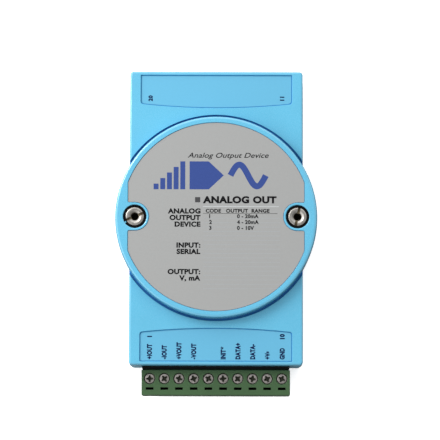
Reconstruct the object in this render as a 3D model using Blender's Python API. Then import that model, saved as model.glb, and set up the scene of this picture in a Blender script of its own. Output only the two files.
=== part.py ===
"""Industrial control I/O module with a pluggable screw terminal block.

Frame: the module lies on its back. +Z comes out of the front face, +Y runs towards the end with no
terminal block, +X to the right as seen from the front. The origin is the centre of the back face,
on the axis of the round front disc. Lengths are written in millimetres and scaled by MM.
"""

import math

import bmesh
import bpy

MM = 0.001

# How far a cutter runs past the face it opens
PAST = 1.0

# Housing
BODY_W = 60.0
BODY_L = 102.0
CORNER_R = 1.8
LOBE_R = 34.8
WALL = 2.0
FACE_Z = 26.0
PARTING_Z = 13.0
PARTING_GAP = 0.15
DRAFT = 0.2
EDGE = 0.8
TONGUE_H = 1.0
GAP = 0.3

# Round disc on the front
DISC_R = 35.0
DISC_TOP_R = 34.7
DISC_Z = 30.0
DISC_CHAMFER = 0.5
DISC_ROOT_Z = 24.6
GROOVE_W = 0.65
GROOVE_Z = 25.3
DISC_WALL = 2.4

# Labels
LABEL_R = 32.45
LABEL_CUT_X = 30.25
LABEL_NOTCH_R = 5.05
LABEL_RECESS = 0.25
LABEL_Z = (29.5, 29.8)
LABEL_FLOOR_Z = 29.42
PANEL_X = 26.3
PANEL_OUTER_Y = 49.8
PANEL_INNER_Y = 39.6
PANEL_BULGE = 1.4
PANEL_FLOOR_Z = 25.6
PANEL_LABEL_Z = (25.66, 25.8)
PANEL_MARGIN = 0.2

# Case screws, which also take the screws of the module stacked in front
CASE_SCREW_X = 28.05
CASE_HEAD_R = 3.2
CASE_HEAD_Z = (25.3, 29.75)
HEAD_SHOULDER = 0.05
CASE_SHANK_R = 1.9
CASE_STUD_R = 1.25
CASE_STUD_Z = (2.5, 9.0)
CASE_STUD_TAPER = 0.5
CASE_TAPPED_R = 1.25
CASE_TAPPED_DEPTH = 4.0
CASE_SLOT_W = 0.9
CASE_SLOT_DEPTH = 0.9
CASE_SLOT_TURN = {"left": 22.0, "right": 78.0}
BUSH_R = 4.0
BUSH_BORE_R = 3.35
BUSH_Z = (24.0, 29.7)
BUSH_FLOOR = 1.0
BUSH_SHANK_R = 2.1
COUNTERBORE_R = 4.2
COUNTERBORE_Z = 23.6
SHANK_HOLE_R = 2.3
UPPER_BOSS_R = 5.4
LOWER_BOSS_R = 4.7
LOWER_BOSS_Z = 9.5
INSERT_R = 2.3
INSERT_BORE_R = 1.55
INSERT_HOLE_R = 2.6
INSERT_Z = (0.4, 7.5)

# Circuit board
PCB_Z = (9.0, 10.6)
PCB_X = 27.3
PCB_Y = (-48.0, 46.4)
PCB_NOTCH_R = 5.8
POST_R = 1.7
POST_XY = (23.0, 33.0)

# X range, Y range, height, edge bevel and material of each block on the board
COMPONENTS = {
    "dc_dc_converter": ((-21.0, -1.0), (18.0, 31.0), 8.5, 0.4, "converter_case"),
    "microcontroller": ((-13.0, 4.0), (-10.0, 7.0), 3.6, 0.3, "black_plastic"),
    "output_converter_chip": ((9.0, 19.0), (-30.0, -22.5), 2.4, 0.2, "black_plastic"),
}

# Place of the capacitor, and the radius and height above its seat of each of its rings
CAPACITOR_XY = (12.0, 22.0)
CAPACITOR_RINGS = (
    (3.7, 0.0),
    (4.0, 0.3),
    (4.0, 1.2),
    (3.7, 1.5),
    (4.0, 1.8),
    (4.0, 10.6),
    (3.6, 11.0),
)

# Terminal block
POLES = 10
PITCH = 5.08
HEADER_X = 25.5
HEADER_Y = (-52.2, -40.8)
HEADER_Z = (PCB_Z[1] + GAP, 19.5)
SHROUD = 0.8
HEADER_BACK = 1.2
OPENING_X = HEADER_X + GAP
OPENING_Z = (PCB_Z[1], HEADER_Z[1] + GAP)
PIN_HALF = 0.5
PIN_Z = 15.2
PIN_TIP_Y = -50.0
PIN_LEG_Y = -39.5
PIN_FOOT_Z = 7.4
PLUG_X = 25.7
PLUG_Y = (-61.2, -52.5)
PLUG_Z = (6.0, 21.0)
PLUG_EDGE = 0.35
NOSE_X = HEADER_X - SHROUD - GAP
NOSE_Z = (HEADER_Z[0] + SHROUD + GAP, HEADER_Z[1] - SHROUD - GAP)
NOSE_END_Y = -42.6
CLAMP_Y = -55.5
CLAMP_HOLE_R = 2.0
CLAMP_HEAD_R = 1.75
CLAMP_HEAD_Z = (19.0, 20.4)
CLAMP_SHANK_R = 1.2
CLAMP_TIP_Z = 15.1
CROSS_W = 0.7
CROSS_L = 2.3
CROSS_DEPTH = 0.9
CLAMP_TURN_STEP = 37.0
CAGE_X = 1.95
CAGE_SIDE = 0.6
CAGE_Y = 2.0
CAGE_Z = (9.6, 16.9)
CAGE_FLOOR = 1.2
CAGE_ROOF = 1.4
CAGE_HOLE_R = 1.5
POCKET_X = 2.2
POCKET_Y = 2.3
POCKET_Z = (CAGE_Z[0] - GAP, 19.2)
WIRE_X = 2.15
WIRE_Z = (10.2, 14.5)
PROBE_SLOT = (2.7, 0.85)
PROBE_Y = -59.1
PROBE_DEPTH = 2.6
SOCKET_HALF = 1.2
SOCKET_BORE = 0.8
SOCKET_Y = (-52.0, -44.2)
SOCKET_END = 1.4
CHANNEL_HALF = SOCKET_HALF + GAP
BAR_HALF = 0.95
BAR_T = 0.8
BAR_TIP_Y = -57.3

# Blank that closes the opening at the end with no terminal block
BLANK_Y = (48.6, 50.9)
BLANK_FLANGE_Y = (47.4, 48.7)
BLANK_FLANGE = 0.9

# Sides of the round shapes, and steps along the arcs of the outlines
ROUND = 96
FINE = 32
MEDIUM = 24
COARSE = 20
POST_SIDES = 12
LOBE_STEPS = 16
CORNER_STEPS = 4
NOTCH_STEPS = 12
LABEL_STEPS = 40
PANEL_STEPS = 10

MERGE_M = 1e-7
SMOOTH_ANGLE = 35.0

# Colour, roughness and metallic value of each material
MATERIALS = {
    "blue_plastic": ((0.13, 0.52, 0.78, 1.0), 0.45, 0.0),
    "panel_film": ((0.15, 0.50, 0.76, 1.0), 0.55, 0.0),
    "grey_film": ((0.44, 0.45, 0.44, 1.0), 0.6, 0.0),
    "green_plastic": ((0.067, 0.14, 0.063, 1.0), 0.4, 0.0),
    "black_plastic": ((0.012, 0.013, 0.014, 1.0), 0.5, 0.0),
    "nickel_silver": ((0.60, 0.55, 0.48, 1.0), 0.3, 1.0),
    "plated_steel": ((0.55, 0.52, 0.52, 1.0), 0.35, 1.0),
    "tinned_brass": ((0.65, 0.62, 0.55, 1.0), 0.3, 1.0),
    "brass": ((0.70, 0.50, 0.20, 1.0), 0.3, 1.0),
    "board_green": ((0.02, 0.16, 0.06, 1.0), 0.35, 0.0),
    "capacitor_sleeve": ((0.02, 0.03, 0.10, 1.0), 0.35, 0.0),
    "converter_case": ((0.03, 0.03, 0.035, 1.0), 0.45, 0.0),
}


# ---------------------------------------------------------------- helpers


def clear_scene():
    for obj in list(bpy.data.objects):
        bpy.data.objects.remove(obj, do_unlink=True)


def material(name):
    """The Principled material of that name, made the first time it is asked for."""
    found = bpy.data.materials.get(name)
    if found:
        return found
    colour, roughness, metallic = MATERIALS[name]
    made = bpy.data.materials.new(name)
    made.use_nodes = True
    shader = made.node_tree.nodes["Principled BSDF"]
    shader.inputs["Base Color"].default_value = colour
    shader.inputs["Roughness"].default_value = roughness
    shader.inputs["Metallic"].default_value = metallic
    return made


def add_object(name, mesh, location=(0, 0, 0), turn=0.0):
    """Links a new object at a place in millimetres, turned about Z by an angle in degrees."""
    obj = bpy.data.objects.new(name, mesh)
    obj.location = [c * MM for c in location]
    obj.rotation_euler = (0, 0, math.radians(turn))
    bpy.context.scene.collection.objects.link(obj)
    return obj


def finish_mesh(name, bm):
    """Turns a bmesh in millimetres into a mesh in metres with its normals pointing out."""
    bmesh.ops.recalc_face_normals(bm, faces=bm.faces)
    bmesh.ops.scale(bm, vec=(MM, MM, MM), verts=bm.verts)
    mesh = bpy.data.meshes.new(name)
    bm.to_mesh(mesh)
    bm.free()
    return mesh


def loft(name, rings):
    """A closed solid through rings of equal point count, capped at its first and last ring."""
    bm = bmesh.new()
    loops = [[bm.verts.new(point) for point in ring] for ring in rings]
    count = len(rings[0])
    for low, high in zip(loops, loops[1:]):
        for i in range(count):
            j = (i + 1) % count
            bm.faces.new((low[i], low[j], high[j], high[i]))
    bm.faces.new(list(reversed(loops[0])))
    bm.faces.new(loops[-1])
    return add_object(name, finish_mesh(name, bm))


def at_height(outline, z):
    return [(x, y, z) for x, y in outline]


def prism(name, outline, z_range):
    return loft(name, [at_height(outline, z) for z in z_range])


def circle(radius, centre=(0.0, 0.0), count=FINE):
    step = 2 * math.pi / count
    return [
        (centre[0] + radius * math.cos(i * step), centre[1] + radius * math.sin(i * step))
        for i in range(count)
    ]


def arc(radius, centre, start, end, count):
    """Points on an arc from start to end, in degrees, both ends included."""
    angles = [math.radians(start + (end - start) * i / count) for i in range(count + 1)]
    return [
        (centre[0] + radius * math.cos(a), centre[1] + radius * math.sin(a)) for a in angles
    ]


def rectangle(x_range, y_range):
    (x0, x1), (y0, y1) = x_range, y_range
    return [(x0, y0), (x1, y0), (x1, y1), (x0, y1)]


def block(name, x_range, y_range, z_range):
    return prism(name, rectangle(x_range, y_range), z_range)


def combine(target, tool, operation):
    """Applies an exact Boolean to the target and removes the tool."""
    modifier = target.modifiers.new(operation.lower(), "BOOLEAN")
    modifier.operation = operation
    modifier.solver = "EXACT"
    modifier.object = tool
    graph = bpy.context.evaluated_depsgraph_get()
    result = bpy.data.meshes.new_from_object(target.evaluated_get(graph))
    target.modifiers.clear()
    target.data = result
    bpy.data.objects.remove(tool, do_unlink=True)
    return target


def add(target, tool):
    return combine(target, tool, "UNION")


def cut(target, tool):
    return combine(target, tool, "DIFFERENCE")


def bevel_edges(obj, width):
    """A small flat bevel on the object's edges, applied."""
    modifier = obj.modifiers.new("bevel", "BEVEL")
    modifier.width = width * MM
    modifier.segments = 1
    modifier.limit_method = "ANGLE"
    graph = bpy.context.evaluated_depsgraph_get()
    result = bpy.data.meshes.new_from_object(obj.evaluated_get(graph))
    obj.modifiers.clear()
    obj.data = result
    return obj


def dress(obj, material_name):
    """Cleans the mesh, shades its round faces smooth and gives the object its material."""
    bm = bmesh.new()
    bm.from_mesh(obj.data)
    bmesh.ops.remove_doubles(bm, verts=bm.verts, dist=MERGE_M)
    bmesh.ops.dissolve_degenerate(bm, edges=bm.edges, dist=MERGE_M)
    bm.to_mesh(obj.data)
    bm.free()
    obj.data.materials.clear()
    obj.data.materials.append(material(material_name))
    obj.data.shade_smooth()
    obj.data.set_sharp_from_angle(angle=math.radians(SMOOTH_ANGLE))
    return obj


def pole_x(index):
    """X of a pole, counted from 0 at the left."""
    return (index - (POLES - 1) / 2) * PITCH


def pole_name(stem, index):
    return f"{stem}_{index + 1:02d}"


def merged_blocks(name, ranges):
    """Several boxes that don't touch, as one cutter."""
    bm = bmesh.new()
    for x_range, y_range, z_range in ranges:
        corners = rectangle(x_range, y_range)
        low, high = ([bm.verts.new((x, y, z)) for x, y in corners] for z in z_range)
        for i in range(4):
            j = (i + 1) % 4
            bm.faces.new((low[i], low[j], high[j], high[i]))
        bm.faces.new(list(reversed(low)))
        bm.faces.new(high)
    return add_object(name, finish_mesh(name, bm))


# ---------------------------------------------------------------- outlines


def body_outline(inset):
    """The housing seen from the front: a rounded rectangle joined to the circle of the disc."""
    half_w = BODY_W / 2 - inset
    half_l = BODY_L / 2 - inset
    lobe = LOBE_R - inset
    corner = max(CORNER_R - inset, GAP)
    reach = math.degrees(math.acos(half_w / lobe))
    corner_x = half_w - corner
    corner_y = half_l - corner
    return (
        arc(lobe, (0, 0), -reach, reach, LOBE_STEPS)
        + arc(corner, (corner_x, corner_y), 0, 90, CORNER_STEPS)
        + arc(corner, (-corner_x, corner_y), 90, 180, CORNER_STEPS)
        + arc(lobe, (0, 0), 180 - reach, 180 + reach, LOBE_STEPS)
        + arc(corner, (-corner_x, -corner_y), 180, 270, CORNER_STEPS)
        + arc(corner, (corner_x, -corner_y), 270, 360, CORNER_STEPS)
    )


def label_outline(grow):
    """A circle with straight sides, and a notch round each case screw."""
    radius = LABEL_R + grow
    cut_x = LABEL_CUT_X + grow
    notch = LABEL_NOTCH_R - grow
    start = math.degrees(math.acos(cut_x / radius))
    bite = arc(notch, (CASE_SCREW_X, 0), 270, 90, NOTCH_STEPS)
    right = [(cut_x, -notch)] + bite + [(cut_x, notch)]
    left = [(-x, -y) for x, y in right]
    top = arc(radius, (0, 0), start, 180 - start, LABEL_STEPS)
    bottom = [(-x, -y) for x, y in top]
    return right + top + left + bottom


def panel_outline(side, shrink):
    """The shallow panel at an end of the front face. side is 1 at +Y and -1 at -Y."""
    half = PANEL_X - shrink
    radius = (PANEL_X**2 + PANEL_BULGE**2) / (2 * PANEL_BULGE)
    centre_y = PANEL_INNER_Y - PANEL_BULGE + radius + shrink
    spread = math.degrees(math.asin(half / radius))
    inner = arc(radius, (0, centre_y), 270 - spread, 270 + spread, PANEL_STEPS)
    outer_y = PANEL_OUTER_Y - shrink
    outline = inner + [(half, outer_y), (-half, outer_y)]
    return [(x * side, y * side) for x, y in outline]


# ---------------------------------------------------------------- housing


def make_lower_shell():
    """The base: a tray with a tongue round its rim, board posts and a boss for each case screw."""
    rim = PARTING_Z - PARTING_GAP
    rings = [
        at_height(body_outline(EDGE), 0.0),
        at_height(body_outline(0.0), EDGE),
        at_height(body_outline(-DRAFT), rim),
        at_height(body_outline(EDGE), rim),
        at_height(body_outline(EDGE), rim + TONGUE_H),
        at_height(body_outline(WALL - DRAFT), rim + TONGUE_H),
        at_height(body_outline(WALL), WALL),
    ]
    shell = loft("lower_shell", rings)
    for side in (-1, 1):
        centre = (side * CASE_SCREW_X, 0)
        add(shell, prism("boss", circle(LOWER_BOSS_R, centre, FINE), (WALL / 2, LOWER_BOSS_Z)))
        bore_z = (-PAST, LOWER_BOSS_Z + PAST)
        cut(shell, prism("bore", circle(INSERT_HOLE_R, centre, COARSE), bore_z))
    add_posts(shell, (WALL / 2, PCB_Z[0] - GAP))
    cut_end_openings(shell, OPENING_Z)
    return dress(shell, "blue_plastic")


def add_posts(shell, z_range):
    for x in (-POST_XY[0], POST_XY[0]):
        for y in (-POST_XY[1], POST_XY[1]):
            add(shell, prism("post", circle(POST_R, (x, y), POST_SIDES), z_range))


def cut_end_openings(shell, z_range):
    """The connector openings: one for the terminal block, and its twin at the other end."""
    for side in (-1, 1):
        y_range = sorted((side * (BODY_L / 2 - WALL - PAST), side * (BODY_L / 2 + PAST)))
        cut(shell, block("opening", (-OPENING_X, OPENING_X), y_range, z_range))


def make_upper_shell():
    """The front cover: the raised disc, label recesses and the counterbored case-screw holes."""
    rim = PARTING_Z + PARTING_GAP
    inner_rim = EDGE - DRAFT
    rebate_z = PARTING_Z + TONGUE_H + GAP
    rings = [
        at_height(body_outline(EDGE), FACE_Z),
        at_height(body_outline(0.0), FACE_Z - EDGE),
        at_height(body_outline(-DRAFT), rim),
        at_height(body_outline(inner_rim), rim),
        at_height(body_outline(inner_rim), rebate_z),
        at_height(body_outline(WALL), rebate_z),
        at_height(body_outline(WALL), FACE_Z - WALL),
    ]
    shell = loft("upper_shell", rings)
    cut(shell, prism("groove", circle(DISC_R + GROOVE_W, count=ROUND), (GROOVE_Z, FACE_Z + PAST)))
    add(shell, make_disc())
    cavity = circle(DISC_R - DISC_WALL, count=ROUND)
    cut(shell, prism("cavity", cavity, (FACE_Z - WALL - PAST, DISC_Z - WALL)))
    for side in (-1, 1):
        centre = (side * CASE_SCREW_X, 0)
        add(shell, prism("boss", circle(UPPER_BOSS_R, centre), (rebate_z, DISC_Z - WALL / 2)))
        cut(shell, prism("bore", circle(COUNTERBORE_R, centre), (COUNTERBORE_Z, DISC_Z + PAST)))
        cut(shell, prism("hole", circle(SHANK_HOLE_R, centre, COARSE), (rebate_z - PAST, DISC_Z)))
    cut(shell, prism("recess", label_outline(LABEL_RECESS), (LABEL_FLOOR_Z, DISC_Z + PAST)))
    for side in (-1, 1):
        cut(shell, prism("panel", panel_outline(side, 0.0), (PANEL_FLOOR_Z, FACE_Z + PAST)))
    add_posts(shell, (PCB_Z[1] + GAP, FACE_Z - WALL / 2))
    cut_end_openings(shell, (PARTING_Z - PAST, OPENING_Z[1]))
    return dress(shell, "blue_plastic")


def make_disc():
    """The raised disc: a short drafted cylinder with a chamfered rim."""
    rings = [
        at_height(circle(DISC_R, count=ROUND), DISC_ROOT_Z),
        at_height(circle(DISC_R, count=ROUND), FACE_Z),
        at_height(circle(DISC_TOP_R, count=ROUND), DISC_Z - DISC_CHAMFER),
        at_height(circle(DISC_TOP_R - DISC_CHAMFER, count=ROUND), DISC_Z),
    ]
    return loft("disc", rings)


def make_labels():
    """The round printed label and the two end marking labels."""
    dress(prism("front_label", label_outline(0.0), LABEL_Z), "grey_film")
    for name, side in (("upper_marking_label", 1), ("lower_marking_label", -1)):
        outline = panel_outline(side, PANEL_MARGIN)
        dress(prism(name, outline, PANEL_LABEL_Z), "panel_film")


def make_end_blank():
    """A plate that fills the unused connector opening, with a flange behind the wall."""
    plate = block("end_blank", (-HEADER_X, HEADER_X), BLANK_Y, HEADER_Z)
    flange_x = HEADER_X + BLANK_FLANGE
    flange_z = (HEADER_Z[0], HEADER_Z[1] + BLANK_FLANGE)
    add(plate, block("flange", (-flange_x, flange_x), BLANK_FLANGE_Y, flange_z))
    return dress(plate, "blue_plastic")


# ---------------------------------------------------------------- case screws


def make_case_screw(side_name, side):
    """A slotted screw with a tapped hole in its head for the next module's screw."""
    name = f"stacking_screw_{side_name}"
    radii = (CASE_STUD_R, CASE_STUD_R, CASE_SHANK_R, CASE_SHANK_R, CASE_HEAD_R, CASE_HEAD_R)
    heights = (
        CASE_STUD_Z[0],
        CASE_STUD_Z[1],
        CASE_STUD_Z[1] + CASE_STUD_TAPER,
        CASE_HEAD_Z[0],
        CASE_HEAD_Z[0] + HEAD_SHOULDER,
        CASE_HEAD_Z[1],
    )
    rings = [at_height(circle(r), z) for r, z in zip(radii, heights)]
    screw = loft(name, rings)
    top = CASE_HEAD_Z[1]
    tapped = circle(CASE_TAPPED_R, count=COARSE)
    cut(screw, prism("tapped", tapped, (top - CASE_TAPPED_DEPTH, top + PAST)))
    half = CASE_SLOT_W / 2
    slot_z = (top - CASE_SLOT_DEPTH, top + PAST)
    cut(screw, block("slot", (-2 * CASE_HEAD_R, 2 * CASE_HEAD_R), (-half, half), slot_z))
    screw.location.x = side * CASE_SCREW_X * MM
    screw.rotation_euler.z = math.radians(CASE_SLOT_TURN[side_name])
    return dress(screw, "nickel_silver")


def make_bush(side_name, side):
    """The black captive bush round the screw's head. It travels with the screw but doesn't turn."""
    bush = prism(f"captive_bush_{side_name}", circle(BUSH_R), BUSH_Z)
    cut(bush, prism("bore", circle(BUSH_BORE_R), (BUSH_Z[0] + BUSH_FLOOR, BUSH_Z[1] + PAST)))
    cut(bush, prism("hole", circle(BUSH_SHANK_R), (BUSH_Z[0] - PAST, BUSH_Z[1] + PAST)))
    bush.location.x = side * CASE_SCREW_X * MM
    return dress(bush, "black_plastic")


def make_insert(side_name, side):
    """The threaded brass insert in the base that the case screw screws into."""
    insert = prism(f"threaded_insert_{side_name}", circle(INSERT_R, count=COARSE), INSERT_Z)
    bore_z = (INSERT_Z[0] - PAST, INSERT_Z[1] + PAST)
    cut(insert, prism("bore", circle(INSERT_BORE_R, count=COARSE), bore_z))
    insert.location.x = side * CASE_SCREW_X * MM
    return dress(insert, "brass")


# ---------------------------------------------------------------- board


def make_board():
    """The circuit board, notched round the case screws and drilled for the header's legs."""
    board = block("main_circuit_board", (-PCB_X, PCB_X), PCB_Y, PCB_Z)
    through = (PCB_Z[0] - PAST, PCB_Z[1] + PAST)
    for side in (-1, 1):
        notch = circle(PCB_NOTCH_R, (side * CASE_SCREW_X, 0))
        cut(board, prism("notch", notch, through))
    reach = PIN_HALF + GAP
    holes = []
    for i in range(POLES):
        x = pole_x(i)
        holes.append(((x - reach, x + reach), (PIN_LEG_Y - reach, PIN_LEG_Y + reach), through))
    cut(board, merged_blocks("holes", holes))
    return dress(board, "board_green")


def make_components():
    """The largest components on the board."""
    seat = PCB_Z[1] + GAP
    for name, (x_range, y_range, height, edge, finish) in COMPONENTS.items():
        part = block(name, x_range, y_range, (seat, seat + height))
        dress(bevel_edges(part, edge), finish)
    make_capacitor(seat)


def make_capacitor(seat):
    """An upright electrolytic capacitor with a crimped neck near its foot."""
    rings = [at_height(circle(r, CAPACITOR_XY, MEDIUM), seat + z) for r, z in CAPACITOR_RINGS]
    dress(loft("electrolytic_capacitor", rings), "capacitor_sleeve")


# ---------------------------------------------------------------- terminal block


def make_header():
    """The fixed half of the connector: a shroud open towards -Y with a pin hole for each pole."""
    header = block("header_body", (-HEADER_X, HEADER_X), HEADER_Y, HEADER_Z)
    inner_x = HEADER_X - SHROUD
    inner_y = (HEADER_Y[0] - PAST, HEADER_Y[1] - HEADER_BACK)
    inner_z = (HEADER_Z[0] + SHROUD, HEADER_Z[1] - SHROUD)
    cut(header, block("cavity", (-inner_x, inner_x), inner_y, inner_z))
    reach = PIN_HALF + GAP
    y_range = (HEADER_Y[1] - HEADER_BACK - PAST, HEADER_Y[1] + PAST)
    z_range = (PIN_Z - reach, PIN_Z + reach)
    holes = [((pole_x(i) - reach, pole_x(i) + reach), y_range, z_range) for i in range(POLES)]
    cut(header, merged_blocks("holes", holes))
    return dress(header, "black_plastic")


def make_header_pins():
    """Bent square pins: along Y inside the shroud, then down through the board."""
    leg = (PIN_LEG_Y - PIN_HALF, PIN_LEG_Y + PIN_HALF)
    profile = [
        (PIN_TIP_Y, PIN_Z - PIN_HALF),
        (leg[0], PIN_Z - PIN_HALF),
        (leg[0], PIN_FOOT_Z),
        (leg[1], PIN_FOOT_Z),
        (leg[1], PIN_Z + PIN_HALF),
        (PIN_TIP_Y, PIN_Z + PIN_HALF),
    ]
    rings = [[(x, y, z) for y, z in profile] for x in (-PIN_HALF, PIN_HALF)]
    first = dress(loft(pole_name("header_pin", 0), rings), "tinned_brass")
    repeat_along_poles("header_pin", first, 0.0)


def repeat_along_poles(stem, first, y, turn_step=0.0):
    """Places the first object at its pole and copies of it, sharing its mesh, at the others."""
    first.location = (pole_x(0) * MM, y * MM, 0)
    for i in range(1, POLES):
        add_object(pole_name(stem, i), first.data, (pole_x(i), y, 0), turn_step * i)


def make_plug_body():
    """The removable half: screw clamps outside, a nose with contact channels inside the header."""
    plug = block("plug_body", (-PLUG_X, PLUG_X), PLUG_Y, PLUG_Z)
    bevel_edges(plug, PLUG_EDGE)
    add(plug, block("nose", (-NOSE_X, NOSE_X), (PLUG_Y[1] - PAST, NOSE_END_Y), NOSE_Z))
    pockets, channels, wires, probes = [], [], [], []
    for i in range(POLES):
        x = pole_x(i)
        pocket_y = (CLAMP_Y - POCKET_Y, CLAMP_Y + POCKET_Y)
        pockets.append(((x - POCKET_X, x + POCKET_X), pocket_y, POCKET_Z))
        channel_y = (CLAMP_Y, NOSE_END_Y + PAST)
        channel_z = (PIN_Z - CHANNEL_HALF, PIN_Z + CHANNEL_HALF)
        channels.append(((x - CHANNEL_HALF, x + CHANNEL_HALF), channel_y, channel_z))
        wires.append(((x - WIRE_X, x + WIRE_X), (PLUG_Y[0] - PAST, CLAMP_Y), WIRE_Z))
        half_l, half_w = PROBE_SLOT[0] / 2, PROBE_SLOT[1] / 2
        probe_y = (PROBE_Y - half_w, PROBE_Y + half_w)
        probe_z = (PLUG_Z[1] - PROBE_DEPTH, PLUG_Z[1] + PAST)
        probes.append(((x - half_l, x + half_l), probe_y, probe_z))
    for name, ranges in (
        ("pockets", pockets),
        ("channels", channels),
        ("wires", wires),
        ("probes", probes),
    ):
        cut(plug, merged_blocks(name, ranges))
    for i in range(POLES):
        hole = circle(CLAMP_HOLE_R, (pole_x(i), CLAMP_Y), MEDIUM)
        cut(plug, prism("hole", hole, (POCKET_Z[1] - PAST, PLUG_Z[1] + PAST)))
    return dress(plug, "green_plastic")


def make_contacts():
    """Socket contacts: a box socket for the pin, whose floor runs on as the clamp bar."""
    floor = PIN_Z - SOCKET_HALF
    socket_x = (-SOCKET_HALF, SOCKET_HALF)
    name = pole_name("socket_contact", 0)
    first = block(name, socket_x, SOCKET_Y, (floor, PIN_Z + SOCKET_HALF))
    bar_y = (BAR_TIP_Y, SOCKET_Y[0] + PAST)
    add(first, block("bar", (-BAR_HALF, BAR_HALF), bar_y, (floor, floor + BAR_T)))
    bore_x = (-SOCKET_BORE, SOCKET_BORE)
    bore_y = (SOCKET_Y[0] + SOCKET_END, SOCKET_Y[1] + PAST)
    cut(first, block("bore", bore_x, bore_y, (PIN_Z - SOCKET_BORE, PIN_Z + SOCKET_BORE)))
    dress(first, "tinned_brass")
    repeat_along_poles("socket_contact", first, 0.0)


def make_cages():
    """Rising cages: a frame round the clamp bar, threaded onto the clamp screw."""
    x_range = (-CAGE_X, CAGE_X)
    y_range = (-CAGE_Y, CAGE_Y)
    first = block(pole_name("clamp_cage", 0), x_range, y_range, CAGE_Z)
    inner_x = CAGE_X - CAGE_SIDE
    window_z = (CAGE_Z[0] + CAGE_FLOOR, CAGE_Z[1] - CAGE_ROOF)
    cut(first, block("window", (-inner_x, inner_x), (-2 * CAGE_Y, 2 * CAGE_Y), window_z))
    thread = circle(CAGE_HOLE_R, count=COARSE)
    cut(first, prism("thread", thread, (window_z[1] - PAST, CAGE_Z[1] + PAST)))
    dress(first, "plated_steel")
    repeat_along_poles("clamp_cage", first, CLAMP_Y)


def make_clamp_screws():
    """Cross-recessed screws, each left at its own angle."""
    radii = (CLAMP_SHANK_R, CLAMP_SHANK_R, CLAMP_HEAD_R, CLAMP_HEAD_R)
    heights = (CLAMP_TIP_Z, CLAMP_HEAD_Z[0], CLAMP_HEAD_Z[0] + HEAD_SHOULDER, CLAMP_HEAD_Z[1])
    rings = [at_height(circle(r, count=MEDIUM), z) for r, z in zip(radii, heights)]
    first = loft(pole_name("clamp_screw", 0), rings)
    arm, half = CROSS_L / 2, CROSS_W / 2
    quarter = [(half, half), (half, arm), (-half, arm)]
    cross = list(quarter)
    for _ in range(3):
        quarter = [(-y, x) for x, y in quarter]
        cross += quarter
    recess_z = (CLAMP_HEAD_Z[1] - CROSS_DEPTH, CLAMP_HEAD_Z[1] + PAST)
    cut(first, prism("recess", cross, recess_z))
    dress(first, "plated_steel")
    repeat_along_poles("clamp_screw", first, CLAMP_Y, CLAMP_TURN_STEP)


# ---------------------------------------------------------------- assembly


def group_plug():
    """Hangs everything that pulls out with the plug from one empty on the slide's axis."""
    handle = bpy.data.objects.new("plug", None)
    bpy.context.scene.collection.objects.link(handle)
    stems = ("plug_body", "socket_contact_", "clamp_cage_", "clamp_screw_")
    for obj in bpy.data.objects:
        if obj.type == "MESH" and obj.name.startswith(stems):
            obj.parent = handle


def build():
    clear_scene()
    make_lower_shell()
    make_upper_shell()
    make_labels()
    make_end_blank()
    for side_name, side in (("left", -1), ("right", 1)):
        make_case_screw(side_name, side)
        make_bush(side_name, side)
        make_insert(side_name, side)
    make_board()
    make_components()
    make_header()
    make_header_pins()
    make_plug_body()
    make_contacts()
    make_cages()
    make_clamp_screws()
    group_plug()


build()
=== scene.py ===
"""Looks of the control module: fine surfaces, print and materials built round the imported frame.

Shapes are worked out in millimetres and scaled to metres by MM. The frame has +Z out of the front
face, +Y towards the end with no terminal block, and its origin at the centre of the back face.
"""

import math
from functools import partial

import bmesh
import bpy
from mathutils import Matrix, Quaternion, Vector


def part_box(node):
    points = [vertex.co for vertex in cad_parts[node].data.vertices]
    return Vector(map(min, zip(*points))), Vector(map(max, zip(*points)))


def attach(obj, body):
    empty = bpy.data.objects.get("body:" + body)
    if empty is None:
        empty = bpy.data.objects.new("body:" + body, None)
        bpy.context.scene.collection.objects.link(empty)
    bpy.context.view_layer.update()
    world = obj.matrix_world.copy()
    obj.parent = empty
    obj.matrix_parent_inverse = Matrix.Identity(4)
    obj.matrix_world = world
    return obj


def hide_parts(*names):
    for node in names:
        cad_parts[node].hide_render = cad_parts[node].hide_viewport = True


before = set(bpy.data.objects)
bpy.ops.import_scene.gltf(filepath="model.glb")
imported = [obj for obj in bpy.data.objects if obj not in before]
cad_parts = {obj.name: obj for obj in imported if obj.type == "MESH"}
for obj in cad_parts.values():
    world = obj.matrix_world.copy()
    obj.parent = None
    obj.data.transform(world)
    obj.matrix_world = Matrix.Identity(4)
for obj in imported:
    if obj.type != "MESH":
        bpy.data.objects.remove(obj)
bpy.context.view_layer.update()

MM = 0.001


# ---------------------------------------------------------------- sizes taken from the frame


def box_mm(node):
    """Lowest and highest corner of a CAD node in millimetres."""
    low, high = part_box(node)
    return low / MM, high / MM


UPPER_LOW, UPPER_HIGH = box_mm("upper_shell")
LOWER_LOW, LOWER_HIGH = box_mm("lower_shell")
LABEL_LOW, LABEL_HIGH = box_mm("front_label")
MARKING_LOW, MARKING_HIGH = box_mm("upper_marking_label")
PLUG_LOW, PLUG_HIGH = box_mm("plug_body")
HEADER_LOW, HEADER_HIGH = box_mm("header_body")
BLANK_LOW, BLANK_HIGH = box_mm("end_blank")
SCREW_LOW, SCREW_HIGH = box_mm("stacking_screw_left")
BUSH_LOW, BUSH_HIGH = box_mm("captive_bush_left")
INSERT_LOW, INSERT_HIGH = box_mm("threaded_insert_left")
CLAMP_LOW, CLAMP_HIGH = box_mm("clamp_screw_01")
CAGE_LOW, _ = box_mm("clamp_cage_01")
CONTACT_LOW, CONTACT_HIGH = box_mm("socket_contact_01")
_, BOARD_HIGH = box_mm("main_circuit_board")

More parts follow.
